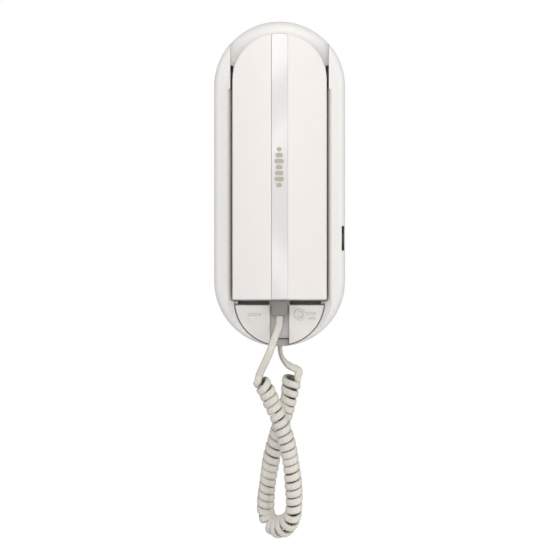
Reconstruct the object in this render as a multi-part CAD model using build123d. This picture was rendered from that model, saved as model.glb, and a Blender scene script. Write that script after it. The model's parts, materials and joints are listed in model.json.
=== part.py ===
from build123d import *
import os
from math import radians, tan

# Wall phone of a door-entry system: a slim handset lies in a long round-ended housing, above two
# keys, and a curly cord joins the two.
#
# Millimetres. +X is right and +Z up as the user faces it, the front faces -Y, and the wall is the
# plane y = 0. The origin is the middle of the two wall screws, in the plane of the wall.
# "Depth" in the names below is the distance out from the wall, so a depth of 20 is y = -20.

# Housing
BODY_WIDTH = 88.5
BODY_HEIGHT = 220.0
RAIL_DEPTH = 34.0
RAIL_EDGE_RADIUS = 7.0
BAY_FLOOR_DEPTH = 22.0
BAY_FLOOR_EDGE_RADIUS = 9.0
WALL = 2.0
PLATE_THICKNESS = 2.2

# Handset
HANDSET_WIDTH = 63.6
HANDSET_TOP = 101.7
HANDSET_BOTTOM = -78.4
HANDSET_BACK = 24.0
HANDSET_SPLIT = 37.0
HANDSET_FRONT = 50.0
HANDSET_WALL = 2.0
HANDSET_CORNER_RADIUS = 1.2
HANDSET_EDGE_RADIUS = 0.9
HANDSET_BACK_RADIUS = 3.5
CROWN_ACROSS_RADIUS = 150.0
CROWN_ALONG_RADIUS = 1400.0
BAND_WIDTH = 11.2
BAND_THICKNESS = 1.2
BAND_GROOVE = 0.25
SPLIT_GROOVE = 0.35
HANDSET_SCREW_Z = (-34.0, 38.0)

# Bay in the housing that the handset lies in
BAY_HALF_WIDTH = HANDSET_WIDTH / 2 + 0.7
BAY_TOP_HALF_WIDTH = HANDSET_WIDTH / 2 + 1.5
BAY_STEP_Z = 64.0
BAY_MOUTH_ANGLE = 15.5
BAY_MOUTH_EDGE_DEPTH = 32.9
BAY_MOUTH_EDGE_ANGLE = 45.0
KEY_RIM_DEPTH = 30.0
BAY_SLOT = (31.4, 33.2)
BAY_SLOT_TOP = 80.0
BAY_BOTTOM_Z = HANDSET_BOTTOM - 1.2

# Cups at the two ends of the handset's back, and the recesses that take them
EAR_Z = 66.0
EAR_CUP_RADIUS = 21.5
EAR_RECESS_RADIUS = 25.0
MOUTH_Z = -60.0
MOUTH_CUP = (36.0, 18.0)
MOUTH_RECESS = (41.0, 24.0)
MOUTH_RECESS_RISE = 1.5
CUP_DEPTH = 16.0
RECESS_DEPTH = 14.0

# Keys
KEY_ARC_RADIUS = 30.3
KEY_ARC_Z = -78.8
KEY_TOP_Z = -82.1
KEY_INNER_X = 6.4
KEY_FACE_DEPTH = 31.0
KEY_BACK_DEPTH = 23.2
KEY_WALL = 1.6
KEY_GAP = 0.6
KEY_PIVOT_DEPTH = 25.6
KEY_PIVOT_Z = -101.0
KEY_PIN_RADIUS = 1.2
KEY_STEM_X = 16.0
KEY_STEM_Z = -90.0
KEY_STEM_RADIUS = 2.0
KEY_SWITCH_TOP = 14.7
MARK_RADIUS = 0.85
MARK_DEPTH = KEY_FACE_DEPTH - 0.3
MARK_WELL = (2.2, 0.7)

# Boards and fixings
BOARD_THICKNESS = 1.6
BOARD_DEPTH = 5.0
BOARD_SIZE = (50.0, 74.0)
BOARD_SCREWS = [(x, z) for x in (-21.0, 21.0) for z in (-33.0, 33.0)]
KEY_BOARD_DEPTH = 9.0
KEY_BOARD_Z = (-96.5, -82.0)
WALL_SCREW_SPACING = 83.5
BOX_SCREW_SPACING = 60.0
WALL_SCREW_RADIUS = 2.25
CABLE_WINDOW = 18.0
HOUSING_SCREWS = [(x, z) for x in (-38.2, 38.2) for z in (-52.0, 58.0)]
SCREW_SHANK_RADIUS = 1.2
SCREW_HOLE_RADIUS = 1.25

# Hook plunger
HOOK_Z = 24.0
HOOK_TIP_DEPTH = 23.8
HOOK_FLANGE_DEPTH = 16.0
HOOK_SPRING_X = 9.3

# Volume switch, in a notch in the right-hand rail
NOTCH_Z = (-45.2, -28.6)
NOTCH_X = 42.0
NOTCH_DEPTH = 13.5

# Cord: a flat lead at each end and a curly stretch between them
LEAD_RADIUS = 2.0
COIL_RADIUS = 5.9
ARC_SHARE = 0.45

HANDSET_LEAD_ROUTE = [
    (0.0, -31.0, -89.0),
    (0.0, -31.0, -93.5),
    (-1.4, -33.8, -99.3),
    (-3.9, -37.8, -105.6),
    (-6.2, -38.8, -113.0),
    (-9.4, -37.2, -121.0),
    (-12.6, -34.4, -128.3),
]
COIL_ROUTE = [
    (-11.6, -33.0, -132.4),
    (-9.1, -32.8, -138.9),
    (-5.9, -32.5, -146.6),
    (-1.6, -32.5, -155.6),
    (2.1, -32.5, -165.4),
    (5.2, -32.5, -175.6),
    (7.4, -32.5, -186.6),
    (8.9, -32.5, -198.0),
    (9.7, -32.5, -206.8),
    (9.9, -32.5, -215.6),
    (9.3, -32.3, -226.0),
    (4.0, -26.9, -233.9),
    (-3.7, -19.0, -233.9),
    (-9.2, -13.6, -226.0),
    (-9.5, -13.3, -215.9),
    (-8.7, -13.2, -207.2),
    (-7.6, -13.2, -199.0),
    (-6.0, -13.2, -188.5),
    (-3.7, -13.2, -177.5),
    (-0.6, -13.2, -166.8),
    (3.0, -13.2, -156.4),
    (6.4, -13.2, -146.6),
    (9.2, -13.2, -138.4),
    (9.2, -13.2, -131.9),
]
BASE_LEAD_ROUTE = [
    (0.4, -14.4, -109.9),
    (0.4, -14.4, -114.2),
    (2.2, -14.1, -118.5),
    (5.2, -13.7, -121.8),
    (8.6, -13.4, -124.1),
    (12.2, -13.2, -126.2),
    (13.2, -13.2, -129.4),
    (13.2, -13.2, -131.9),
]


def block(across, depth, height):
    """Box between two limits across, two depths and two heights."""
    size = [high - low for low, high in (across, depth, height)]
    middle = [(low + high) / 2 for low, high in (across, depth, height)]
    return Pos(middle[0], -middle[1], middle[2]) * Box(*size)


def layer(outline, back, front):
    """Solid of an outline that faces the wall, from one depth to another."""
    return extrude(Plane.XZ.offset(back) * outline, amount=front - back)


def post(x, z, back, front, radius):
    """Round post that stands straight out from the wall."""
    return layer(Pos(x, z) * Circle(radius), back, front)


def drill(body, places, back, front, radius):
    """The body with a hole straight through it at each place."""
    for x, z in places:
        body -= post(x, z, back, front, radius)
    return body


def joined(pieces):
    """One node's separate solids."""
    return Compound(children=[solid for piece in pieces for solid in piece.solids()])


def front_edges(body):
    """Edges of the face that is furthest from the wall."""
    return body.faces().sort_by(Axis.Y)[0].edges()


def back_edges(body):
    """Edges of the face that is nearest to the wall."""
    return body.faces().sort_by(Axis.Y)[-1].edges()


def coil_spring(x, z, back, front, coil_radius, wire_radius=0.35, turns=5):
    """Compression spring that stands straight out from the wall, between two depths."""
    height = front - back - 2 * wire_radius
    line = Helix(pitch=height / turns, height=height, radius=coil_radius)
    wire = sweep(Plane(origin=line @ 0, z_dir=line % 0) * Circle(wire_radius), path=line)
    return Plane(origin=(x, -back - wire_radius, z), z_dir=(0, -1, 0)) * wire


def rounded_slot(x, z, size, back, front, radius):
    """Solid of a round-cornered rectangle, from one depth to another."""
    return layer(Pos(x, z) * RectangleRounded(*size, radius), back, front)


# ---------------------------------------------------------------- housing

def housing_form(inset, depth, edge_radius):
    """Round-ended block with a rounded front edge."""
    outline = SlotOverall(BODY_HEIGHT - 2 * inset, BODY_WIDTH - 2 * inset, rotation=90)
    form = layer(outline, 0, depth)
    return fillet(front_edges(form), edge_radius)


def upright(half_width, bottom, top):
    """Outline of an upright strip, centred across."""
    return Pos(0, (bottom + top) / 2) * Rectangle(2 * half_width, top - bottom)


def bay_outline(grow):
    """Outline of the bay: wider above the step, and round below about the keys."""
    top = BODY_HEIGHT / 2 + 10
    outline = upright(BAY_TOP_HALF_WIDTH + grow, BAY_STEP_Z - grow, top)
    outline += upright(BAY_HALF_WIDTH + grow, BAY_BOTTOM_Z - grow, top)
    outline += Pos(0, KEY_ARC_Z) * Circle(KEY_ARC_RADIUS + KEY_GAP + grow)
    return outline


def flare(half_width, depth, angle):
    """Opening beside the handset that widens towards the front from one depth."""
    outline = upright(half_width, KEY_ARC_Z, BODY_HEIGHT / 2)
    return extrude(Plane.XZ.offset(depth) * outline, amount=RAIL_DEPTH + 1 - depth, taper=-angle)


def key_rim():
    """Cone that slopes the rim about the keys, as wide at the rails' front as the flare is."""
    half = KEY_ARC_RADIUS + KEY_GAP
    height = RAIL_DEPTH + 1 - KEY_RIM_DEPTH
    cone = Cone(half + 0.3, half + 0.3 + height, height)
    return Pos(0, -KEY_RIM_DEPTH - height / 2, KEY_ARC_Z) * Rot(90, 0, 0) * cone


def bay_mouth():
    """Flare that slopes the rails' inner edges, with a broken front edge, and the keys' rim."""
    half = KEY_ARC_RADIUS + KEY_GAP
    opening = flare(half, BAY_FLOOR_DEPTH, BAY_MOUTH_ANGLE)
    half += (BAY_MOUTH_EDGE_DEPTH - BAY_FLOOR_DEPTH) * tan(radians(BAY_MOUTH_ANGLE))
    opening += flare(half, BAY_MOUTH_EDGE_DEPTH, BAY_MOUTH_EDGE_ANGLE)
    opening &= block((-60, 60), (0, 60), (KEY_ARC_Z, BAY_STEP_Z))
    return opening + (key_rim() & block((-60, 60), (0, 60), (-130, KEY_ARC_Z)))


def housing_shell_form():
    """Thin-walled rails and bay floor, open at the back."""
    bay = layer(bay_outline(0), 0, RAIL_DEPTH + 5)
    floor = housing_form(0, BAY_FLOOR_DEPTH, BAY_FLOOR_EDGE_RADIUS)
    outside = housing_form(0, RAIL_DEPTH, RAIL_EDGE_RADIUS) - (bay - floor) - bay_mouth()

    rail_roof = RAIL_DEPTH - WALL - 0.2
    floor_roof = BAY_FLOOR_DEPTH - WALL
    inside = housing_form(WALL + 0.2, rail_roof, RAIL_EDGE_RADIUS - WALL)
    under_floor = housing_form(WALL + 0.2, floor_roof, BAY_FLOOR_EDGE_RADIUS - WALL)
    kept = layer(bay_outline(WALL), 0, RAIL_DEPTH + 5)
    kept += layer(bay_outline(WALL + 4), BAY_FLOOR_DEPTH, RAIL_DEPTH + 5)
    return outside - (inside - (kept - under_floor))


def with_recesses(shell):
    """The shell with its ear and mouth recesses, each with a floor and a wall of its own."""
    roof = BAY_FLOOR_DEPTH - WALL + 0.5
    floor = RECESS_DEPTH - WALL
    mouth_z = MOUTH_Z + MOUTH_RECESS_RISE
    outer_mouth = [side + 2 * WALL for side in MOUTH_RECESS]
    shell += post(0, EAR_Z, floor, roof, EAR_RECESS_RADIUS + WALL)
    shell += rounded_slot(0, mouth_z, outer_mouth, floor, roof, 7)
    shell -= post(0, EAR_Z, RECESS_DEPTH, BAY_FLOOR_DEPTH + 1, EAR_RECESS_RADIUS)
    shell -= rounded_slot(0, mouth_z, MOUTH_RECESS, RECESS_DEPTH, BAY_FLOOR_DEPTH + 1, 5)
    return shell


def key_lug(side):
    """Bearing block for one key's pin."""
    across = sorted((side * 9.5, side * 13.0))
    body = block(across, (19.5, KEY_PIVOT_DEPTH + 2.6), (KEY_PIVOT_Z - 2.6, KEY_PIVOT_Z + 2.6))
    bore = Rot(0, 90, 0) * Cylinder(KEY_PIN_RADIUS + 0.07, 10)
    return body - Pos(side * 11.25, -KEY_PIVOT_DEPTH, KEY_PIVOT_Z) * bore


def housing_shell():
    """Front housing with its openings, screw bosses and key bearings."""
    shell = with_recesses(housing_shell_form())
    for x, z in HOUSING_SCREWS:
        shell += post(x, z, PLATE_THICKNESS, 30, 2.8) - post(x, z, 0, 18, SCREW_HOLE_RADIUS)
    for side in (-1, 1):
        shell += key_lug(side)
        shell += block(sorted((side * 28.2, side * 31.4)), (19.5, 25.5), (-81.3, -79.7))
        shell -= block(sorted(side * x for x in BAY_SLOT), (12, 24), (BAY_STEP_Z, BAY_SLOT_TOP))
        shell -= block(sorted((side * 7, side * 28)), (12, 24), (-81.7, -79.2))
        shell -= post(side * KEY_STEM_X, KEY_STEM_Z, 12, 24, KEY_STEM_RADIUS + 0.8)
    shell -= block((-4.25, 4.25), (12, 24), (HOOK_Z - 2.65, HOOK_Z + 2.65))
    shell -= block((-6.4, 6.4), (8.6, 24), (-112, -104.3))
    shell -= block((NOTCH_X, 50), (NOTCH_DEPTH, 40), NOTCH_Z)
    for row in range(-2, 3):
        shell -= rounded_slot(0, EAR_Z + 5 * row, (16, 1.4), 10, 16, 0.69)
    return shell


def wall_plate():
    """Rear cover that screws to the wall and carries the boards."""
    outline = SlotOverall(BODY_HEIGHT - 2 * WALL - 1, BODY_WIDTH - 2 * WALL - 1, rotation=90)
    plate = layer(outline, 0, PLATE_THICKNESS)
    for x, z in BOARD_SCREWS:
        plate += post(x, z, PLATE_THICKNESS, BOARD_DEPTH, 3.2)
    for side in (-1, 1):
        plate += post(side * 20, -89, PLATE_THICKNESS, KEY_BOARD_DEPTH, 2.5)
    plate = drill(plate, BOARD_SCREWS, 1.2, BOARD_DEPTH + 1, SCREW_HOLE_RADIUS)
    plate = drill(plate, HOUSING_SCREWS, -1, 1.3, 2.8)
    plate = drill(plate, HOUSING_SCREWS, 0, 3, 1.6)
    half = WALL_SCREW_SPACING / 2
    plate = drill(plate, [(0, -half), (0, half)], -1, 3, WALL_SCREW_RADIUS)
    half = BOX_SCREW_SPACING / 2
    plate = drill(plate, [(-half, 0), (half, 0)], -1, 3, WALL_SCREW_RADIUS)
    half = CABLE_WINDOW / 2
    return plate - block((-half, half), (-1, 3), (-half, half))


def housing_screws():
    """Four screws from the rear through the plate into the rails' bosses."""
    return joined([
        post(x, z, 0.1, 1.3, 2.6) + post(x, z, 1.3, 13, SCREW_SHANK_RADIUS)
        for x, z in HOUSING_SCREWS
    ])


# ---------------------------------------------------------------- electronics in the housing

def main_board():
    """Printed board with a window for the line cable."""
    outline = Rectangle(*BOARD_SIZE)
    board = layer(outline, BOARD_DEPTH, BOARD_DEPTH + BOARD_THICKNESS)
    board = drill(board, BOARD_SCREWS, 4, 8, 1.3)
    half = CABLE_WINDOW / 2
    return board - block((-half, half), (4, 8), (-half, half))


def board_screws():
    """Four screws that hold the main board."""
    face = BOARD_DEPTH + BOARD_THICKNESS
    return joined([
        post(x, z, face, face + 1.4, 2.4) + post(x, z, 1.6, face, SCREW_SHANK_RADIUS)
        for x, z in BOARD_SCREWS
    ])


def terminal_block():
    """Four-way terminal with a wire hole below and a screw well in front, each way."""
    body = block((-10, 10), (6.6, 15), (-27, -18.5))
    for way in range(4):
        x = -7.5 + 5 * way
        body -= block((x - 1.6, x + 1.6), (8, 11.2), (-28, -21))
        body -= post(x, -22.2, 11.8, 16, 1.9)
    return body


def terminal_screws():
    """Slotted clamp screws in the terminal's wells."""
    screws = []
    for way in range(4):
        x = -7.5 + 5 * way
        slit = block((x - 2, x + 2), (13.2, 15), (-22.5, -21.9))
        screws.append(post(x, -22.2, 11.8, 14, 1.7) - slit)
    return joined(screws)


def hook_switch():
    """Switch that the hook plunger holds down."""
    body = block((-6.5, 6.5), (6.6, 12), (HOOK_Z - 3.4, HOOK_Z + 3.4))
    return body + post(0, HOOK_Z, 12, 13.4, 1.0)


def transformer():
    """Small audio transformer: a core about a wound bobbin."""
    core = block((12.8, 24), (6.6, 15.6), (10, 19.5)) - block((15, 21.8), (8, 14.2), (9, 21))
    winding = block((15.1, 21.7), (8.1, 14.1), (8, 21.5))
    return core, winding


def capacitor():
    """Upright electrolytic capacitor with a crimped neck."""
    return post(18, -14, 6.6, 8, 4) + post(18, -14, 8, 8.6, 3.6) + post(18, -14, 8.6, 17, 4)


def interface_chip():
    """Line interface chip with its two rows of legs."""
    body = block((-21, -13.5), (6.9, 9.2), (14, 24.5))
    for row in range(8):
        z = 14.8 + 1.27 * row
        body += block((-22.6, -11.9), (6.6, 7.2), (z, z + 0.45))
    return body


def setting_header():
    """Two-row header for the plugs that set the phone's address."""
    body = block((-23, -13), (6.6, 12), (-14, -8))
    for column in range(4):
        x = -21.8 + 2.54 * column
        for z in (-12.6, -10.1):
            body -= block((x, x + 1.1), (9, 13), (z, z + 1.1))
    return body


def key_board():
    """Small board behind the keys."""
    return block((-24, 24), (KEY_BOARD_DEPTH, KEY_BOARD_DEPTH + BOARD_THICKNESS), KEY_BOARD_Z)


def key_switches():
    """Two push switches on the key board."""
    face = KEY_BOARD_DEPTH + BOARD_THICKNESS
    switches = []
    for side in (-1, 1):
        x = side * KEY_STEM_X
        body = block((x - 3, x + 3), (face, face + 3.2), (KEY_STEM_Z - 3, KEY_STEM_Z + 3))
        switches.append(body + post(x, KEY_STEM_Z, face + 3.2, KEY_SWITCH_TOP, 1.7))
    return joined(switches)


def board_cable():
    """Flat cable from the main board to the key board, with a plug on each."""
    ribbon = block((-5, 5), (7.6, 8.2), (-84, -33))
    upper = block((-6.5, 6.5), (6.6, 9.2), (-36, -31))
    lower = block((-6.5, 6.5), (6.4, 9.0), (-86, -82.4))
    return upper + ribbon + lower


def ringer():
    """Call sounder behind the ear recess."""
    body = post(0, EAR_Z, 5, RECESS_DEPTH - WALL, 14)
    return body + post(0, EAR_Z, 4, 5, 9)


def base_socket():
    """Jack at the lower end of the housing, open downwards."""
    body = block((-6.1, 6.1), (8.8, 18.4), (-109.6, -97))
    body += block((-6.1, 6.1), (8.8, 19.2), (-109.6, -104.9))
    body += Pos(0, -19.2, -105.8) * Rot(0, 90, 0) * Cylinder(0.7, 10)
    return body - block((-2.75, 5.15), (11.0, 17.7), (-110, -98.6))


def base_plug():
    """Cord plug in the base jack."""
    return block((-2.65, 5.05), (11.1, 17.6), (-109.9, -98.8))


# ---------------------------------------------------------------- hook, keys and slider

def hook_plunger():
    """Plunger that the handset holds down, with a flange for its springs."""
    tip = block((-4, 4), (HOOK_FLANGE_DEPTH, HOOK_TIP_DEPTH), (HOOK_Z - 2.4, HOOK_Z + 2.4))
    tip = fillet(front_edges(tip), 1.2)
    flange_back = HOOK_FLANGE_DEPTH - 1.2
    flange = block((-11.6, 11.6), (flange_back, HOOK_FLANGE_DEPTH), (HOOK_Z - 3, HOOK_Z + 3))
    return tip + flange + post(0, HOOK_Z, 13.5, HOOK_FLANGE_DEPTH - 1.2, 1.5)


def hook_springs():
    """Two springs between the main board and the plunger's flange."""
    face = BOARD_DEPTH + BOARD_THICKNESS
    return joined([
        coil_spring(side * HOOK_SPRING_X, HOOK_Z, face, HOOK_FLANGE_DEPTH - 1.2, 1.9)
        for side in (-1, 1)
    ])


def key_outline(side, inset):
    """Quarter-round outline of one key."""
    corner = KEY_INNER_X + inset
    window = Pos(side * (corner + 20), KEY_TOP_Z - inset - 20) * Rectangle(40, 40)
    return (Pos(0, KEY_ARC_Z) * Circle(KEY_ARC_RADIUS - inset)) & window


def key_cap(side):
    """One hollow key with its pin and its stem."""
    cap = layer(key_outline(side, 0), KEY_BACK_DEPTH, KEY_FACE_DEPTH)
    cap = fillet(front_edges(cap), 0.7)
    cap -= layer(key_outline(side, KEY_WALL), KEY_BACK_DEPTH - 1, KEY_FACE_DEPTH - KEY_WALL)
    pin = Pos(side * 13.1, -KEY_PIVOT_DEPTH, KEY_PIVOT_Z) * Rot(0, 90, 0) * Cylinder(KEY_PIN_RADIUS, 11)
    stem = post(side * KEY_STEM_X, KEY_STEM_Z, 15.6, KEY_FACE_DEPTH - 1, KEY_STEM_RADIUS)
    return cap + pin + stem


def mark_bar(left, right, z):
    """Level round-ended bar that stands a little out of a key's face."""
    bar = Pos((left + right) / 2, -MARK_DEPTH, z) * Rot(0, 90, 0) * Cylinder(MARK_RADIUS, right - left)
    for x in (left, right):
        bar += Pos(x, -MARK_DEPTH, z) * Sphere(MARK_RADIUS)
    return bar


def call_key():
    """Left key, marked with a dash."""
    return key_cap(-1) + mark_bar(-20.6, -13.4, -88.5)


def release_key():
    """Right key, marked with a key for the door release; the mark's bow has a well in it."""
    radius, depth = MARK_WELL
    ring = Pos(13.8, -MARK_DEPTH, -88.5) * Rot(90, 0, 0) * Torus(3.1, MARK_RADIUS)
    marked = key_cap(1) + ring + mark_bar(17.4, 23.8, -87.9) + mark_bar(20.4, 23.8, -91.2)
    return marked - post(13.8, -88.5, KEY_FACE_DEPTH - depth, KEY_FACE_DEPTH + 1, radius)


def key_spring(side):
    """Return spring about one key's stem."""
    return coil_spring(side * KEY_STEM_X, KEY_STEM_Z, BAY_FLOOR_DEPTH, KEY_FACE_DEPTH - KEY_WALL, 3.3)


def volume_switch():
    """Slide switch in the rail, with a plate that closes the notch's inner end."""
    body = block((38.7, 41.6), (12.6, 27.2), (-46.4, -27.4))
    body += block((41.5, 43.8), (NOTCH_DEPTH, 15), (NOTCH_Z[0] + 0.1, NOTCH_Z[1] - 0.1))
    return body - block((39.8, 43), (19.8, 23.2), (-44.9, -28.9))


def volume_slider():
    """Ribbed knob with a tongue in the switch's groove."""
    knob = block((42.1, 43.8), (15.2, 30), (-40.2, -33.6))
    for rib in range(4):
        z = -39.4 + 1.6 * rib
        knob -= block((43.3, 45), (14, 31), (z, z + 0.7))
    return knob + block((40.0, 42.2), (20, 23), (-39.4, -34.4))


# ---------------------------------------------------------------- handset

def handset_outline(inset):
    """Straight sides, a round top and a straight bottom."""
    half = HANDSET_WIDTH / 2 - inset
    bottom = HANDSET_BOTTOM + inset
    arc_z = HANDSET_TOP - HANDSET_WIDTH / 2
    return upright(half, bottom, arc_z) + Pos(0, arc_z) * Circle(half)


def crown(front):
    """Large body whose front is gently round both across and along the handset."""
    half = HANDSET_WIDTH
    drop = CROWN_ACROSS_RADIUS - (CROWN_ACROSS_RADIUS ** 2 - half ** 2) ** 0.5
    arc = ThreePointArc((-half, -front + drop), (0, -front), (half, -front + drop))
    sides = Polyline((-half, -front + drop), (-half, -10), (half, -10), (half, -front + drop))
    middle_z = (HANDSET_TOP + HANDSET_BOTTOM) / 2
    turning = Axis((0, CROWN_ALONG_RADIUS - HANDSET_FRONT, middle_z), (1, 0, 0))
    profile = Pos(0, 0, middle_z) * make_face([arc, *sides.edges()])
    return revolve(profile, turning, 10).rotate(turning, -5)


def handset_form():
    """Whole outer form of the handset without its cups."""
    form = layer(handset_outline(0), HANDSET_BACK, 70)
    form = fillet(form.edges().filter_by(Axis.Y).group_by(Axis.Z)[0], HANDSET_CORNER_RADIUS)
    form &= crown(HANDSET_FRONT)
    form = fillet(front_edges(form), HANDSET_EDGE_RADIUS)
    return fillet(back_edges(form), HANDSET_BACK_RADIUS)


def handset_cavity():
    """Hollow inside the handset's two shells."""
    hollow = layer(handset_outline(HANDSET_WALL), HANDSET_BACK + HANDSET_WALL, 70)
    return hollow & crown(HANDSET_FRONT - HANDSET_WALL)


def band_zone(left, right):
    """Slab in front of the band's seat, between two limits across."""
    slab = block((left, right), (HANDSET_BACK, 70), (HANDSET_BOTTOM - 5, HANDSET_TOP + 5))
    return slab - crown(HANDSET_FRONT - BAND_THICKNESS)


def handset_band():
    """Glossy strip let into the front of the handset."""
    half = BAND_WIDTH / 2
    return handset_form() & band_zone(-half + BAND_GROOVE, half - 0.05)


def handset_front():
    """Front shell of the handset, with a seat for the band and two screw bosses."""
    shell = handset_form() - handset_cavity()
    shell &= block((-50, 50), (HANDSET_SPLIT, 70), (-100, 120))
    shell -= band_zone(-BAND_WIDTH / 2, BAND_WIDTH / 2)
    for z in HANDSET_SCREW_Z:
        boss = post(0, z, HANDSET_SPLIT, HANDSET_FRONT - HANDSET_WALL - 0.1, 3.2)
        shell += boss - post(0, z, 30, 44.5, SCREW_HOLE_RADIUS)
    return shell


def ear_holes():
    """Sound holes in two rings about the middle of the ear cup."""
    holes = [Location((0, 0))]
    holes += list(PolarLocations(5, 6))
    holes += list(PolarLocations(10, 12))
    return [(place.position.X, EAR_Z + place.position.Y) for place in holes]


def handset_rear():
    """Rear shell of the handset with its ear and mouth cups."""
    shell = handset_form() - handset_cavity()
    shell &= block((-50, 50), (0, HANDSET_SPLIT), (-100, 120))
    rim = handset_outline(-1) - handset_outline(SPLIT_GROOVE)
    shell -= layer(rim, HANDSET_SPLIT - SPLIT_GROOVE, HANDSET_SPLIT + 1)
    ear = fillet(back_edges(post(0, EAR_Z, CUP_DEPTH, 25, EAR_CUP_RADIUS)), 3)
    mouth = fillet(back_edges(rounded_slot(0, MOUTH_Z, MOUTH_CUP, CUP_DEPTH, 25, 5)), 3)
    shell += ear
    shell += mouth
    shell -= post(0, EAR_Z, CUP_DEPTH + HANDSET_WALL, 27, EAR_CUP_RADIUS - 3)
    shell -= rounded_slot(0, MOUTH_Z, [side - 5 for side in MOUTH_CUP], CUP_DEPTH + HANDSET_WALL, 27, 3)
    shell = drill(shell, ear_holes(), 10, 20, 1.0)
    shell = drill(shell, [(4 * step, MOUTH_Z) for step in (-1, 0, 1)], 10, 20, 0.9)
    shell -= block((-4.1, 4.1), (28.2, 35.6), (-80, -75))
    for z in HANDSET_SCREW_Z:
        shell += post(0, z, HANDSET_BACK + 1, HANDSET_SPLIT, 4.6)
        shell = drill(shell, [(0, z)], 20, 31, 2.9)
        shell = drill(shell, [(0, z)], 20, 40, 1.6)
    return shell


def handset_screws():
    """Two slotted screws that hold the handset's shells together."""
    screws = []
    for z in HANDSET_SCREW_Z:
        head = post(0, z, 29.2, 31, 2.7) - block((-0.4, 0.4), (28, 30), (z - 3, z + 3))
        screws.append(head + post(0, z, 31, 43.5, SCREW_SHANK_RADIUS))
    return joined(screws)


def ear_gasket():
    """Foam ring under the receiver."""
    return post(0, EAR_Z, 18, 19, 17.5) - post(0, EAR_Z, 17, 20, 12.5)


def earpiece():
    """Receiver capsule with its magnet."""
    return post(0, EAR_Z, 19, 25, 17) + post(0, EAR_Z, 25, 30, 9)


def microphone():
    """Microphone capsule."""
    return post(0, MOUTH_Z, 18.6, 23.6, 4.85)


def microphone_boot():
    """Rubber boot about the microphone."""
    ring = post(0, MOUTH_Z, 18, 24.6, 6.3) - post(0, MOUTH_Z, 18.6, 25, 4.85)
    return drill(ring, [(0, MOUTH_Z)], 17, 19, 2.2)


def handset_socket():
    """Jack at the lower end of the handset, open downwards."""
    body = block((-6.4, 6.4), (26, 36.8), (-76.3, -64))
    return body - block((-3.95, 3.95), (28.4, 35.4), (-77, -66))


def handset_plug():
    """Cord plug in the handset jack, with a square boot below the handset."""
    nose = block((-3.85, 3.85), (28.5, 35.3), (-79, -66.3))
    boot = block((-5.25, 5.25), (27.5, 34.5), (-89, -78.5))
    boot = fillet(boot.edges().filter_by(Axis.Z), 0.8)
    return nose + boot


def handset_wires():
    """Two insulated wires from the jack to the receiver, side by side."""
    wires = []
    for x in (-10.0, -7.6):
        path = FilletPolyline(
            (x + 6, -35, -64), (x + 6, -35, -56), (x, -35, -48), (x, -35, 30), (x + 2, -33, 40),
            (x + 2, -28, 52), radius=4)
        wires.append(sweep(Plane(origin=path @ 0, z_dir=path % 0) * Circle(0.7), path=path))
    return joined(wires)


# ---------------------------------------------------------------- cord

def arc_radii(points):
    """Radius for each corner of a route, as large as its two runs allow."""
    radii = []
    for before, corner, after in zip(points, points[1:], points[2:]):
        first = Vector(corner) - Vector(before)
        second = Vector(after) - Vector(corner)
        half_turn = radians(first.get_angle(second) / 2)
        radii.append(ARC_SHARE * min(first.length, second.length) / tan(half_turn))
    return radii


def cord_tube(name, points, radius):
    """Round tube along a route of straight runs joined by tangent arcs."""
    radii = arc_radii(points)
    path = FilletPolyline(*points, radius=radii)
    section = Plane(origin=path @ 0, z_dir=path % 0) * Circle(radius)
    tube = sweep(section, path=path)
    expected = section.area * path.length
    print(name, "length", round(path.length, 1), "least radius", round(min(radii), 1),
          "volume", round(tube.volume, 1), "of", round(expected, 1))
    return tube


# ---------------------------------------------------------------- all nodes

def all_parts():
    """Every node's name and shape."""
    core, winding = transformer()
    return {
        "wall_plate": wall_plate(),
        "housing_shell": housing_shell(),
        "housing_screws": housing_screws(),
        "main_board": main_board(),
        "board_screws": board_screws(),
        "terminal_block": terminal_block(),
        "terminal_screws": terminal_screws(),
        "hook_switch": hook_switch(),
        "transformer_core": core,
        "transformer_winding": winding,
        "capacitor": capacitor(),
        "interface_chip": interface_chip(),
        "setting_header": setting_header(),
        "key_board": key_board(),
        "key_switches": key_switches(),
        "board_cable": board_cable(),
        "ringer": ringer(),
        "base_socket": base_socket(),
        "base_plug": base_plug(),
        "volume_switch": volume_switch(),
        "volume_slider": volume_slider(),
        "hook_plunger": hook_plunger(),
        "hook_springs": hook_springs(),
        "call_key": call_key(),
        "call_key_spring": key_spring(-1),
        "release_key": release_key(),
        "release_key_spring": key_spring(1),
        "handset_front": handset_front(),
        "handset_band": handset_band(),
        "handset_rear": handset_rear(),
        "handset_screws": handset_screws(),
        "ear_gasket": ear_gasket(),
        "earpiece": earpiece(),
        "microphone": microphone(),
        "microphone_boot": microphone_boot(),
        "handset_socket": handset_socket(),
        "handset_wires": handset_wires(),
        "handset_plug": handset_plug(),
        "cord_lead_handset": cord_tube("handset lead", HANDSET_LEAD_ROUTE, LEAD_RADIUS),
        "cord_coil": cord_tube("coil", COIL_ROUTE, COIL_RADIUS),
        "cord_lead_base": cord_tube("base lead", BASE_LEAD_ROUTE, LEAD_RADIUS),
    }


os.makedirs("parts", exist_ok=True)
for node, shape in all_parts().items():
    shape.label = node
    export_step(shape, f"parts/{node}.step")
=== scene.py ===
import json
import math

import bpy
import numpy as np
from mathutils import Matrix, Vector

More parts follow.
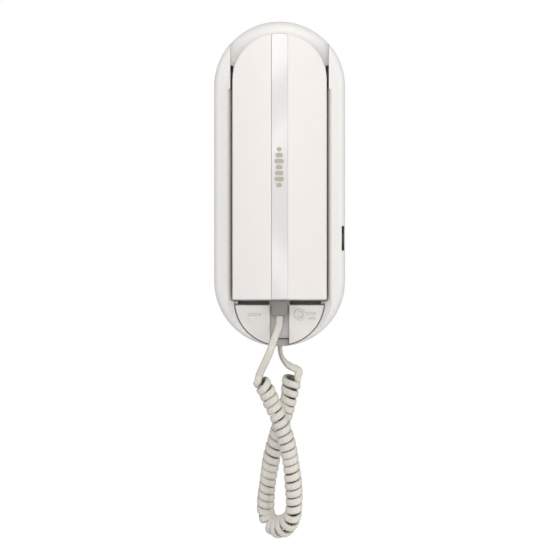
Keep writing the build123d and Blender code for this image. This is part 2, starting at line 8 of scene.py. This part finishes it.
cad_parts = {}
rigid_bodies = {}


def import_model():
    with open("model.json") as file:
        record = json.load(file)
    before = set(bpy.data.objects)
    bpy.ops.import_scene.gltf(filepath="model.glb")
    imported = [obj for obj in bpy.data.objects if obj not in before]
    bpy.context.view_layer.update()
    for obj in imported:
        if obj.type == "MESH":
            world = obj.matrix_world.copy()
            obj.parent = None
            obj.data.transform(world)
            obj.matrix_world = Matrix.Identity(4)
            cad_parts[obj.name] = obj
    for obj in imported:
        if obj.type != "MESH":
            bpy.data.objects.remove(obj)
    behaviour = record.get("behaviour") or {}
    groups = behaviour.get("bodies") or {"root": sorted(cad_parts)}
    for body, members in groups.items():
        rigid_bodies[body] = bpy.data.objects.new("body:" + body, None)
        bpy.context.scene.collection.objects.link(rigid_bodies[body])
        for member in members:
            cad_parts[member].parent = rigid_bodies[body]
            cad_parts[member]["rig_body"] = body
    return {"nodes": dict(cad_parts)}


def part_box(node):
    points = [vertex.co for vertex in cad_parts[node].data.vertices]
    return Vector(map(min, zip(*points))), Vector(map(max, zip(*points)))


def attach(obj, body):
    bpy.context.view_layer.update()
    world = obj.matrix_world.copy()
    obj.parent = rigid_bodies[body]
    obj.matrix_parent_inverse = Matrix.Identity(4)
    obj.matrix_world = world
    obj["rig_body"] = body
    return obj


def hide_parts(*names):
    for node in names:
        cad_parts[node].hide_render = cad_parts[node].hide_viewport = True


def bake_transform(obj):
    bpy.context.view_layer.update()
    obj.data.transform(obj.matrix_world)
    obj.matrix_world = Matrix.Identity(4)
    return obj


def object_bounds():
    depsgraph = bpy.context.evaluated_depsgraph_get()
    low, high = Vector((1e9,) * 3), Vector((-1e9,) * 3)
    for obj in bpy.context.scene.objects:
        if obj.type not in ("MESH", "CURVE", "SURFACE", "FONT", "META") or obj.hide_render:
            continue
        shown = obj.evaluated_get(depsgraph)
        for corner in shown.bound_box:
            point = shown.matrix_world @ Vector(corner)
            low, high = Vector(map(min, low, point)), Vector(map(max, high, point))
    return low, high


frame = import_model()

# Slim wall phone: a handset with a glossy band lies in a round-ended housing above two keys, and a
# curly cord hangs between them. Metres, in the CAD's frame: the front faces -Y and +Z is up.

cad_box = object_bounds()
scene = bpy.context.scene
nodes = frame["nodes"]
HOUSING_LOW, HOUSING_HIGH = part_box("housing_shell")
BAND_LOW, BAND_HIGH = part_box("handset_band")

# Camera: straight in front and far off, so that nothing is hidden by perspective
VIEW_WIDTH = 0.3786
VIEW_MIDDLE = (0.0003, -0.0651)
CAMERA_DISTANCE = 8.0
SENSOR_WIDTH = 36.0

# Surround: where it starts and stops dimming, from -1 in front to 1 behind
SURROUND_DIMS = (-0.5, 0.7)

# Floor: half its side, and how far it lies below the object
FLOOR_HALF = 0.9
FLOOR_DROP = 0.25

# Plastic: scales of its flow marks and uneven gloss, how uneven, depth of its grain, and its broken edges
FLOW_SCALE = 45
GLOSS_SCALE = 160
GLOSS_SPREAD = 0.12
GRAIN_DEPTH = 0.0001
BROKEN_EDGE = 0.0005
EDGE_SAMPLES = 6
COAT_ROUGHNESS = 0.05

# Cord: a flat flexible lead at each end and curly turns between them
CORD_WIDTH = 0.0050
CORD_THICKNESS = 0.0029
CORD_SIDES = 14
CORD_SQUARENESS = 0.78
CORD_STEP = 0.001

# Coil: its turns on a middle line, and how far they lean down at the front, at its start and at the bottom
CARRIER_STEP = 0.00025
COIL_RADIUS = 0.0044
COIL_PITCH = 0.0053
TURN_DROOP = (0.22, 0.50)
LEVEL_END = 0.75
# Where the turns widen, from the coil's first point, and close in again, from its last
WIDEN = (-0.005, 0.002)
CLOSE_IN = (-0.001, 0.006)
# Turning starts and stops as the turns reach these shares of their full width
TURN_STARTS = (0.35, 0.9)
TURN_STOPS = (0.6, 1.0)
LAST_TURN_PAST_END = 0.0013
# Half the stretch over which the turns change hand, and over which the fold at the bottom is loose
HAND_CHANGE = 0.003
FOLD_HALF = 0.016
# Where the first turn grows and shrinks again, the last one grows, and the turns level out before the end
FIRST_TURN_GROWS = (-0.006, 0)
FIRST_TURN_SHRINKS = (0.002, 0.009)
LAST_TURN_GROWS = (-0.011, -0.007)
LEVELS_OUT = (-0.012, -0.004)
# How much wider the first turn, the fold and the last turn are than the rest
FIRST_TURN_WIDER = 0.12
FOLD_WIDER = 0.38
LAST_TURN_WIDER = 0.15
# Unevenness of the turns' pitch and width: share, radians per metre of line, and radians at its start
PITCH_WAVES = ((0.05, 310, 0), (0.04, 127, 1.3))
WIDTH_WAVES = ((0.04, 211, 0.5),)
# Where the base lead turns its edge to the front, back from its plug
EDGE_ON = (-0.026, -0.006)
EDGE_ON_FACING = (1.0, -0.2, 0)
FRONT_FACING = (0, -1.0, 0)
HANDSET_LEAD_ROUTE = [
    (0.0000, -0.0310, -0.0890),
    (0.0000, -0.0310, -0.0935),
    (-0.0014, -0.0338, -0.0993),
    (-0.0039, -0.0378, -0.1056),
    (-0.0062, -0.0388, -0.1130),
    (-0.0098, -0.0372, -0.1210),
    (-0.0128, -0.0350, -0.1270),
    (-0.0142, -0.0338, -0.1312),
]
COIL_ROUTE = [
    (-0.0129, -0.0332, -0.1345),
    (-0.0091, -0.0328, -0.1389),
    (-0.0059, -0.0325, -0.1466),
    (-0.0016, -0.0325, -0.1556),
    (0.0021, -0.0325, -0.1654),
    (0.0052, -0.0325, -0.1756),
    (0.0074, -0.0325, -0.1866),
    (0.0089, -0.0325, -0.1980),
    (0.0097, -0.0325, -0.2068),
    (0.0099, -0.0325, -0.2156),
    (0.0093, -0.0323, -0.2250),
    (0.0040, -0.0269, -0.2319),
    (-0.0037, -0.0190, -0.2319),
    (-0.0092, -0.0136, -0.2250),
    (-0.0095, -0.0133, -0.2159),
    (-0.0087, -0.0132, -0.2072),
    (-0.0076, -0.0132, -0.1990),
    (-0.0060, -0.0132, -0.1885),
    (-0.0037, -0.0132, -0.1775),
    (-0.0006, -0.0132, -0.1668),
    (0.0030, -0.0132, -0.1564),
    (0.0060, -0.0132, -0.1466),
    (0.0075, -0.0132, -0.1386),
    (0.0081, -0.0132, -0.1318),
]
BASE_LEAD_ROUTE = [
    (0.0002, -0.0144, -0.1099),
    (0.0004, -0.0144, -0.1142),
    (0.0021, -0.0141, -0.1188),
    (0.0054, -0.0137, -0.1226),
    (0.0092, -0.0134, -0.1246),
    (0.0126, -0.0132, -0.1258),
    (0.0138, -0.0132, -0.1281),
]

# Painted shade: its colour on the cord and at the feet of the keys' raised marks, how much of it is on the
# cord's edges, and how near to them
JACKET_PAINTED_SHADE = (0.20, 0.17, 0.13)
KEY_PAINTED_SHADE = (0.25, 0.22, 0.19)
EDGE_PAINTED_SHADE = 0.7
EDGE_PAINTED_SHADE_POWER = 9

# Printed mark on the band: bars as shares of its width, and half a bar's height as a share of their step
BAND_CROWN_RADIUS = 1.4
ACROSS_CROWN_RADIUS = 0.15
MARK_HEIGHTS = (0.0252, -0.0030)
MARK_WIDTH = 0.0062
MARK_X = -0.0003
MARK_PROUD = 0.00008
MARK_LENGTHS = (0.5, 0.8, 1.0, 0.7, 0.9, 1.0, 0.6)
BAR_HALF_SHARE = 0.36
BAR_CORNERS = 24

# Nodes whose edges show, with the finish of each, and how their edges are broken
MOULD_EDGE = 0.00025
SHARP_ANGLE = math.radians(35)
FLAT_ANGLE = math.radians(0.5)
WELD_DISTANCE = 0.000005
MOULDED = {
    "call_key": "key_plastic",
    "release_key": "key_plastic",
    "base_socket": "taupe_plastic",
    "volume_slider": "grey_plastic",
}

# Front of the keys, what counts as raised above it, and how far up the raised marks the painted shade at
# their feet reaches
KEY_FACE_Y = -0.0310
RAISED = 0.00001
MARK_FOOT = 0.0004

# Where the coil is at its lowest, and where its turns change hand
LOOP_BOTTOM = (0.0010, -0.0230, -0.2318)
KINK = (-0.0066, -0.0162, -0.2295)


# ---------------------------------------------------------------- camera, light and floor

def added(name, data):
    """New object in the scene."""
    made = bpy.data.objects.new(name, data)
    scene.collection.objects.link(made)
    return made


def aim(thing, target, roll=0.0):
    """Turns a camera or a light to face a point, rolled about its own axis."""
    facing = (Vector(target) - thing.location).to_track_quat("-Z", "Y").to_matrix()
    thing.rotation_euler = (facing @ Matrix.Rotation(roll, 3, "Z")).to_euler()


def make_camera():
    """Long lens whose field at the front of the handset is VIEW_WIDTH."""
    camera = added("camera", bpy.data.cameras.new("camera"))
    camera.location = (VIEW_MIDDLE[0], -CAMERA_DISTANCE, VIEW_MIDDLE[1])
    aim(camera, (VIEW_MIDDLE[0], 0, VIEW_MIDDLE[1]))
    camera.data.sensor_width = SENSOR_WIDTH
    camera.data.lens = SENSOR_WIDTH * (CAMERA_DISTANCE + HOUSING_LOW.y) / VIEW_WIDTH
    camera.data.clip_start = 0.5
    camera.data.clip_end = 40
    scene.camera = camera


def soft_light(name, place, size, radiance, target=(0, 0, 0), roll=0.0):
    """Rectangular softbox that is as bright as radiance where it is seen reflected."""
    data = bpy.data.lights.new(name, "AREA")
    data.shape = "RECTANGLE"
    data.size, data.size_y = size
    data.energy = radiance * math.pi * size[0] * size[1]
    light = added(name, data)
    light.location = place
    light.visible_camera = False
    aim(light, target, roll)


def make_world(front, behind, seen):
    """Soft light from all round, stronger in front than behind, and a white backdrop."""
    world = bpy.data.worlds.new("studio")
    scene.world = world
    world.use_nodes = True
    tree = world.node_tree
    tree.nodes.clear()
    surround = tree.nodes.new("ShaderNodeBackground")
    way = tree.nodes.new("ShaderNodeTexCoord")
    axes = tree.nodes.new("ShaderNodeSeparateXYZ")
    strength = tree.nodes.new("ShaderNodeMapRange")
    strength.inputs["From Min"].default_value = SURROUND_DIMS[0]
    strength.inputs["From Max"].default_value = SURROUND_DIMS[1]
    strength.inputs["To Min"].default_value = front
    strength.inputs["To Max"].default_value = behind
    tree.links.new(way.outputs["Generated"], axes.inputs["Vector"])
    tree.links.new(axes.outputs["Y"], strength.inputs["Value"])
    tree.links.new(strength.outputs["Result"], surround.inputs["Strength"])
    backdrop = tree.nodes.new("ShaderNodeBackground")
    backdrop.inputs["Color"].default_value = (1.0, 1.0, 1.0, 1)
    backdrop.inputs["Strength"].default_value = seen
    rays = tree.nodes.new("ShaderNodeLightPath")
    mix = tree.nodes.new("ShaderNodeMixShader")
    output = tree.nodes.new("ShaderNodeOutputWorld")
    tree.links.new(rays.outputs["Is Camera Ray"], mix.inputs[0])
    tree.links.new(surround.outputs[0], mix.inputs[1])
    tree.links.new(backdrop.outputs[0], mix.inputs[2])
    tree.links.new(mix.outputs[0], output.inputs["Surface"])


def make_lights():
    """Key light above, one low beside the cord, strips at the sides, and boxes that the band reflects."""
    tilt = math.radians(8)
    make_world(front=0.66, behind=0.34, seen=1.0)
    soft_light("key", (0.08, -0.40, 0.56), (0.45, 0.45), 2.0)
    soft_light("loop", (0.14, -0.14, -0.34), (0.12, 0.12), 2.0, target=(0, -0.03, -0.2))
    soft_light("front", (0, -8.3, 0), (5.0, 5.0), 0.9)
    soft_light("right_edge", (1.4, -0.7, 0), (0.15, 1.6), 9.0)
    soft_light("left_edge", (-1.4, -0.7, 0), (0.15, 1.6), 7.5)
    soft_light("band_top", (0, -7.9, 1.35), (2.4, 0.85), 3.6, roll=tilt)
    soft_light("band_middle", (0, -7.9, 0.34), (2.4, 0.30), 2.9, roll=tilt)
    soft_light("band_low", (0, -7.9, -0.80), (2.4, 0.34), 2.7, roll=-tilt)


def make_floor():
    """Pale floor well below the cord's loop."""
    half, level = FLOOR_HALF, cad_box[0].z - FLOOR_DROP
    corners = [(-half, -half, level), (half, -half, level), (half, half, level), (-half, half, level)]
    mesh = bpy.data.meshes.new("floor")
    mesh.from_pydata(corners, [], [(0, 1, 2, 3)])
    floor = added("floor", mesh)
    mesh.materials.append(plastic("floor_paint", (0.80, 0.80, 0.80), 0.7))


# ---------------------------------------------------------------- materials

def plastic(name, colour, roughness, mottle=0.02, grain=0.08, grain_scale=1500, coat=0.0):
    """Moulded plastic: a fine eroded grain, faint flow mottling, uneven gloss and softened edges."""
    material = bpy.data.materials.new(name)
    material.use_nodes = True
    tree = material.node_tree
    shader = tree.nodes["Principled BSDF"]
    shader.inputs["Coat Weight"].default_value = coat
    shader.inputs["Coat Roughness"].default_value = COAT_ROUGHNESS
    place = tree.nodes.new("ShaderNodeTexCoord")

    flow = noise(tree, place, FLOW_SCALE, 3)
    tone = tree.nodes.new("ShaderNodeMix")
    tone.data_type = "RGBA"
    tone.inputs["A"].default_value = (*[c * (1 - mottle) for c in colour], 1)
    tone.inputs["B"].default_value = (*[min(1, c * (1 + mottle)) for c in colour], 1)
    tree.links.new(flow.outputs["Fac"], tone.inputs["Factor"])
    tree.links.new(tone.outputs["Result"], shader.inputs["Base Color"])

    wear = tree.nodes.new("ShaderNodeMapRange")
    wear.inputs["To Min"].default_value = roughness * (1 - GLOSS_SPREAD)
    wear.inputs["To Max"].default_value = roughness * (1 + GLOSS_SPREAD)
    tree.links.new(noise(tree, place, GLOSS_SCALE, 2).outputs["Fac"], wear.inputs["Value"])
    tree.links.new(wear.outputs["Result"], shader.inputs["Roughness"])

    bump = tree.nodes.new("ShaderNodeBump")
    bump.inputs["Strength"].default_value = grain
    bump.inputs["Distance"].default_value = GRAIN_DEPTH
    broken_edge = tree.nodes.new("ShaderNodeBevel")
    broken_edge.samples = EDGE_SAMPLES
    broken_edge.inputs["Radius"].default_value = BROKEN_EDGE
    tree.links.new(broken_edge.outputs["Normal"], bump.inputs["Normal"])
    tree.links.new(noise(tree, place, grain_scale, 2).outputs["Fac"], bump.inputs["Height"])
    tree.links.new(bump.outputs["Normal"], shader.inputs["Normal"])
    return material


def noise(tree, place, scale, detail):
    """Noise in the piece's own space."""
    made = tree.nodes.new("ShaderNodeTexNoise")
    made.inputs["Scale"].default_value = scale
    made.inputs["Detail"].default_value = detail
    tree.links.new(place.outputs["Object"], made.inputs["Vector"])
    return made


def metal(name, colour, roughness, brush=900):
    """Plated or drawn metal with fine scratches and slightly uneven gloss."""
    material = plastic(name, colour, roughness, mottle=0.06, grain=0.12, grain_scale=brush)
    material.node_tree.nodes["Principled BSDF"].inputs["Metallic"].default_value = 1.0
    return material


# ---------------------------------------------------------------- cord

def ramp(value, low, high):
    """Smooth step from 0 at low to 1 at high."""
    share = np.clip((value - low) / (high - low), 0, 1)
    return share * share * (3 - 2 * share)


def unit(vectors):
    """Each row at length 1."""
    return vectors / np.linalg.norm(vectors, axis=1, keepdims=True)


def along(line):
    """Distance along a line at each of its points."""
    steps = np.linalg.norm(np.diff(line, axis=0), axis=1)
    return np.concatenate([[0], np.cumsum(steps)])


def even(line, step, *others):
    """The line, and any values that go with it, at points about step apart."""
    at = along(line)
    places = np.linspace(0, at[-1], int(at[-1] / step) + 1)
    taken = []
    for values in (line, *others):
        taken.append(np.stack([np.interp(places, at, column) for column in values.T], axis=1))
    return taken


def spline_points(name, route):
    """Points of the smooth NURBS line that has the route as its control points."""
    curve = bpy.data.curves.new(name, "CURVE")
    curve.dimensions = "3D"
    curve.resolution_u = 16
    spline = curve.splines.new("NURBS")
    spline.points.add(len(route) - 1)
    for point, place in zip(spline.points, route):
        point.co = (*place, 1)
    spline.order_u = 3
    spline.use_endpoint_u = True
    holder = bpy.data.objects.new(name, curve)
    mesh = bpy.data.meshes.new_from_object(holder)
    line = np.array([vertex.co for vertex in mesh.vertices])
    bpy.data.meshes.remove(mesh)
    bpy.data.curves.remove(curve)
    return line


def carried_frames(line):
    """Two side directions that don't twist along the line."""
    tangents = unit(np.gradient(line, axis=0))
    side = Vector((-1, 0, 0))
    sides = []
    for before, here in zip([tangents[0], *tangents], tangents):
        side = Vector(before).rotation_difference(Vector(here)) @ side
        sides.append(side - side.dot(Vector(here)) * Vector(here))
    sides = unit(np.array(sides))
    return sides, np.cross(tangents, sides)


def place_on(line, point):
    """Distance along the line of its point nearest to this one."""
    return along(line)[np.linalg.norm(line - np.array(point), axis=1).argmin()]


def curled(carrier):
    """The cord's own centreline about its carrier line, and the way its flat side faces."""
    carrier = even(carrier, CARRIER_STEP)[0]
    left, back = carried_frames(carrier)
    at = along(carrier)
    marked = (COIL_ROUTE[0], LOOP_BOTTOM, KINK, COIL_ROUTE[-1])
    top, bottom, kink, end = [place_on(carrier, point) for point in marked]
    opening = stretch(at, top, WIDEN)
    closing = 1 - stretch(at, end, CLOSE_IN)
    share = opening * closing

    turning = (1 - 2 * ramp(at, kink - HAND_CHANGE, kink + HAND_CHANGE)) * ramp(opening, *TURN_STARTS)
    phase = turn_angles(at, turning * ramp(closing, *TURN_STOPS))
    phase -= np.interp(top, at, phase)
    phase += ending_turn(at, phase, left, back, end) * ramp(at, kink, end)

    outward = np.cos(phase)[:, None] * left + np.sin(phase)[:, None] * back
    radius = COIL_RADIUS * share * looseness(at, top, bottom, end)
    line = carrier + radius[:, None] * outward
    line[:, 2] += droops(at, top, bottom, end) * radius * outward[:, 1]
    edge_on = stretch(at, at[-1], EDGE_ON)[:, None]
    flat = (1 - edge_on) * np.array(FRONT_FACING) + edge_on * np.array(EDGE_ON_FACING)
    facing = share[:, None] * outward + (1 - share[:, None]) * flat
    return even(line, CORD_STEP, facing)


def waves(at, parts):
    """Sum of sine waves along the line."""
    return sum(share * np.sin(at * rate + start) for share, rate, start in parts)


def stretch(at, place, limits):
    """Smooth step along the line, from 0 at one distance from a place to 1 at another."""
    return ramp(at, place + limits[0], place + limits[1])


def turn_angles(at, turning):
    """Angle reached along the line by slightly uneven turns, one way or the other."""
    rate = 2 * math.pi / COIL_PITCH * turning
    return np.cumsum(rate * (1 + waves(at, PITCH_WAVES))) * np.gradient(at)


def ending_turn(at, phase, left, back, end):
    """Angle still to be made up for the last turn to end on the right, where its lead comes down."""
    last = np.searchsorted(at, end + LAST_TURN_PAST_END)
    wanted = math.atan2(np.dot(back[last], (1, 0, 0)), np.dot(left[last], (1, 0, 0)))
    return (wanted - phase[last] + math.pi) % (2 * math.pi) - math.pi


def looseness(at, top, bottom, end):
    """Width of the turns along the line, against that of an even coil."""
    first_turn = stretch(at, top, FIRST_TURN_GROWS) * (1 - stretch(at, top, FIRST_TURN_SHRINKS))
    fold = ramp(at, bottom - FOLD_HALF, bottom) * (1 - ramp(at, bottom, bottom + FOLD_HALF))
    last_turn = stretch(at, end, LAST_TURN_GROWS)
    wider = FIRST_TURN_WIDER * first_turn + FOLD_WIDER * fold + LAST_TURN_WIDER * last_turn
    return 1 + wider + waves(at, WIDTH_WAVES)


def droops(at, top, bottom, end):
    """How steeply the turns lean down at the front: more to the bottom, much less at the last turn."""
    droop = TURN_DROOP[0] + (TURN_DROOP[1] - TURN_DROOP[0]) * ramp(at, top, bottom)
    return droop * (1 - LEVEL_END * stretch(at, end, LEVELS_OUT))


def flat_section():
    """Round-cornered outline of the flat cord, as shares of its half width and half thickness."""
    points = []
    for index in range(CORD_SIDES):
        angle = 2 * math.pi * index / CORD_SIDES
        across, through = math.cos(angle), math.sin(angle)
        points.append((
            math.copysign(abs(across) ** CORD_SQUARENESS, across),
            math.copysign(abs(through) ** CORD_SQUARENESS, through),
        ))
    return points


def painted_shade_amount(across, through):
    """How much painted shade a point of the section gets: all the inner side, and the very edges."""
    return max(0.0, -through, EDGE_PAINTED_SHADE * abs(across) ** EDGE_PAINTED_SHADE_POWER)


def swept(name, line, facing, section, width, thickness):
    """Closed mesh of a flat section along a line, its thickness the way it faces."""
    tangents = unit(np.gradient(line, axis=0))
    facing = unit(facing - (facing * tangents).sum(1)[:, None] * tangents)
    across = np.cross(tangents, facing)
    rings = [
        line + a * width / 2 * across + t * thickness / 2 * facing
        for a, t in section
    ]
    points = np.stack(rings, axis=1).reshape(-1, 3)
    count = len(section)
    faces = [tuple(range(count)), tuple(range(len(points) - count, len(points)))[::-1]]
    for ring in range(len(line) - 1):
        for side in range(count):
            near, next_side = ring * count, (side + 1) % count
            faces.append((near + side, near + count + side, near + count + next_side, near + next_side))
    mesh = bpy.data.meshes.new(name)
    mesh.from_pydata(points.tolist(), [], faces)
    mesh.polygons.foreach_set("use_smooth", [True] * len(mesh.polygons))
    # Painted shade: the cord's inner side and very edges are marked for darkening, as if in shade between
    # the turns.
    hidden = [painted_shade_amount(across, through) for across, through in section] * len(line)
    mesh.attributes.new("hidden", "FLOAT", "POINT").data.foreach_set("value", hidden)
    return added(name, mesh)


def moulded(name):
    """Copy of a CAD node with its sharp edges broken, as a mould leaves them."""
    source = nodes[name]
    piece = added(name + "_moulded", source.data.copy())
    merge = piece.modifiers.new("weld", "WELD")
    merge.merge_threshold = WELD_DISTANCE
    flat = piece.modifiers.new("flat", "DECIMATE")
    flat.decimate_type = "DISSOLVE"
    flat.angle_limit = FLAT_ANGLE
    bevel = piece.modifiers.new("edges", "BEVEL")
    bevel.width = MOULD_EDGE
    bevel.segments = 2
    bevel.limit_method = "ANGLE"
    bevel.angle_limit = SHARP_ANGLE
    bevel.harden_normals = True
    piece.data.polygons.foreach_set("use_smooth", [True] * len(piece.data.polygons))
    shade_feet(piece.data)
    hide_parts(name)
    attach(piece, source["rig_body"])


def shade_feet(mesh):
    """Notes how near the foot of a raised mark each corner of its faces is, for painted shade."""
    corners = []
    for polygon in mesh.polygons:
        raised = polygon.center.y < KEY_FACE_Y - RAISED
        for vertex in polygon.vertices:
            low = 1 - (KEY_FACE_Y - mesh.vertices[vertex].co.y) / MARK_FOOT
            corners.append(max(0.0, low) if raised else 0.0)
    mesh.attributes.new("mark_foot", "FLOAT", "CORNER").data.foreach_set("value", corners)


def with_painted_shade(material, colour, attribute="hidden"):
    """Darkens the plastic with painted shade where the mesh says that it lies in shade."""
    tree = material.node_tree
    shader = tree.nodes["Principled BSDF"]
    unshaded = shader.inputs["Base Color"].links[0].from_socket
    shade_node = tree.nodes.new("ShaderNodeAttribute")
    shade_node.attribute_name = attribute
    mix = tree.nodes.new("ShaderNodeMix")
    mix.data_type = "RGBA"
    mix.inputs["B"].default_value = (*colour, 1)
    tree.links.new(shade_node.outputs["Fac"], mix.inputs["Factor"])
    tree.links.new(unshaded, mix.inputs["A"])
    tree.links.new(mix.outputs["Result"], shader.inputs["Base Color"])
    return material


def make_cord():
    """The curly cord from the handset's plug round and up to the housing's plug."""
    route = HANDSET_LEAD_ROUTE + COIL_ROUTE + BASE_LEAD_ROUTE[::-1]
    line, facing = curled(spline_points("cord_route", route))
    cord = swept("curly_cord", line, facing, flat_section(), CORD_WIDTH, CORD_THICKNESS)
    jacket = plastic("cord_jacket", (0.73, 0.695, 0.625), 0.28, mottle=0.05)
    # Jacket darkened on its inner side and edges with painted shade.
    cord.data.materials.append(with_painted_shade(jacket, JACKET_PAINTED_SHADE))
    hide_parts("cord_lead_handset", "cord_coil", "cord_lead_base")
    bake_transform(cord)
    print("cord", round(along(line)[-1], 3), "m")


# ---------------------------------------------------------------- small pieces

def band_front(z):
    """Depth of the band's crowned front at a height, on its middle line."""
    middle = (BAND_LOW.z + BAND_HIGH.z) / 2
    return BAND_LOW.y + (z - middle) ** 2 / (2 * BAND_CROWN_RADIUS)


def level_bars():
    """Plain printed mark on the band: a column of bars of different widths, as on a sound meter."""
    top, bottom = MARK_HEIGHTS
    step = (top - bottom) / len(MARK_LENGTHS)
    points, faces = [], []
    for index, share in enumerate(MARK_LENGTHS):
        z = top - step * (index + 0.5)
        half_across, half_high = MARK_WIDTH / 2 * share, step * BAR_HALF_SHARE
        first = len(points)
        for corner in range(BAR_CORNERS):
            angle = 2 * math.pi * corner / BAR_CORNERS
            centre_x = math.copysign(half_across - half_high, math.cos(angle))
            x = MARK_X + centre_x + half_high * math.cos(angle)
            height = z + half_high * math.sin(angle)
            depth = band_front(height) + x * x / (2 * ACROSS_CROWN_RADIUS) - MARK_PROUD
            points.append((x, depth, height))
        faces.append(tuple(range(first, first + BAR_CORNERS))[::-1])
    mesh = bpy.data.meshes.new("level_bars")
    mesh.from_pydata(points, [], faces)
    bars = added("level_bars", mesh)
    thicken = bars.modifiers.new("print", "SOLIDIFY")
    thicken.thickness = MARK_PROUD
    mesh.materials.append(plastic("mark_print", (0.47, 0.42, 0.34), 0.3, mottle=0.04))
    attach(bars, "handset")


# ---------------------------------------------------------------- finishes of the CAD nodes

def outside_finishes():
    """Materials of the pieces that show, each with its nodes."""
    key_white = plastic("key_white", (0.80, 0.77, 0.74), 0.36)
    return [
        (plastic("housing_white", (0.86, 0.842, 0.822), 0.36), ["housing_shell", "wall_plate"]),
        (plastic("handset_white", (0.86, 0.82, 0.79), 0.40), ["handset_front", "handset_rear"]),
        # Keys darkened at the feet of their raised marks with painted shade.
        (with_painted_shade(key_white, KEY_PAINTED_SHADE, "mark_foot"), ["call_key", "release_key"]),
        (
            plastic("gloss_band", (0.72, 0.70, 0.685), 0.10, mottle=0.005, grain=0.0, coat=0.4),
            ["handset_band"],
        ),
        (plastic("grey_plastic", (0.30, 0.29, 0.28), 0.45), ["hook_plunger", "board_cable"]),
        (plastic("slider_grey", (0.06, 0.055, 0.05), 0.45), ["volume_slider"]),
        # Same off-white plastic as the housing, painted darker for the shade the socket sits in.
        (plastic("taupe_plastic", (0.60, 0.57, 0.54), 0.35), ["base_socket"]),
        (plastic("clear_grey_plastic", (0.30, 0.28, 0.26), 0.2), ["base_plug"]),
        (plastic("grey_boot", (0.27, 0.255, 0.24), 0.45), ["handset_plug"]),
    ]


def inside_finishes():
    """Materials of the electric and hidden pieces, each with its nodes."""
    black_nodes = [
        "hook_switch", "interface_chip", "setting_header", "key_switches", "ringer",
        "volume_switch", "earpiece", "handset_socket",
    ]
    screws = ["housing_screws", "board_screws", "terminal_screws", "handset_screws"]
    springs = ["hook_springs", "call_key_spring", "release_key_spring"]
    boards = ["main_board", "key_board"]
    return [
        (plastic("black_plastic", (0.025, 0.025, 0.026), 0.42), black_nodes),
        (plastic("green_plastic", (0.05, 0.24, 0.09), 0.4), ["terminal_block"]),
        (plastic("circuit_board", (0.05, 0.20, 0.08), 0.35, mottle=0.15), boards),
        (metal("zinc_steel", (0.68, 0.69, 0.70), 0.3), screws),
        (metal("spring_steel", (0.60, 0.60, 0.60), 0.25), springs),
        (metal("core_steel", (0.40, 0.40, 0.41), 0.4), ["transformer_core"]),
        (metal("copper_winding", (0.72, 0.36, 0.20), 0.3), ["transformer_winding"]),
        (plastic("capacitor_sleeve", (0.03, 0.04, 0.09), 0.3), ["capacitor"]),
        (plastic("foam", (0.05, 0.05, 0.05), 0.95, grain=0.6, grain_scale=2500), ["ear_gasket"]),
        (metal("capsule_metal", (0.70, 0.70, 0.72), 0.28), ["microphone"]),
        (plastic("black_rubber", (0.03, 0.03, 0.03), 0.7), ["microphone_boot"]),
        (plastic("wire_insulation", (0.55, 0.04, 0.03), 0.4), ["handset_wires"]),
    ]


def finish_nodes():
    """Gives every CAD node its own material."""
    for material, names in outside_finishes() + inside_finishes():
        for name in names:
            for place in nodes[name].material_slots:
                place.material = material


scene.view_settings.view_transform = "Standard"
make_camera()
make_lights()
make_floor()
make_cord()
level_bars()
finish_nodes()
for name, slot in MOULDED.items():
    moulded(name)
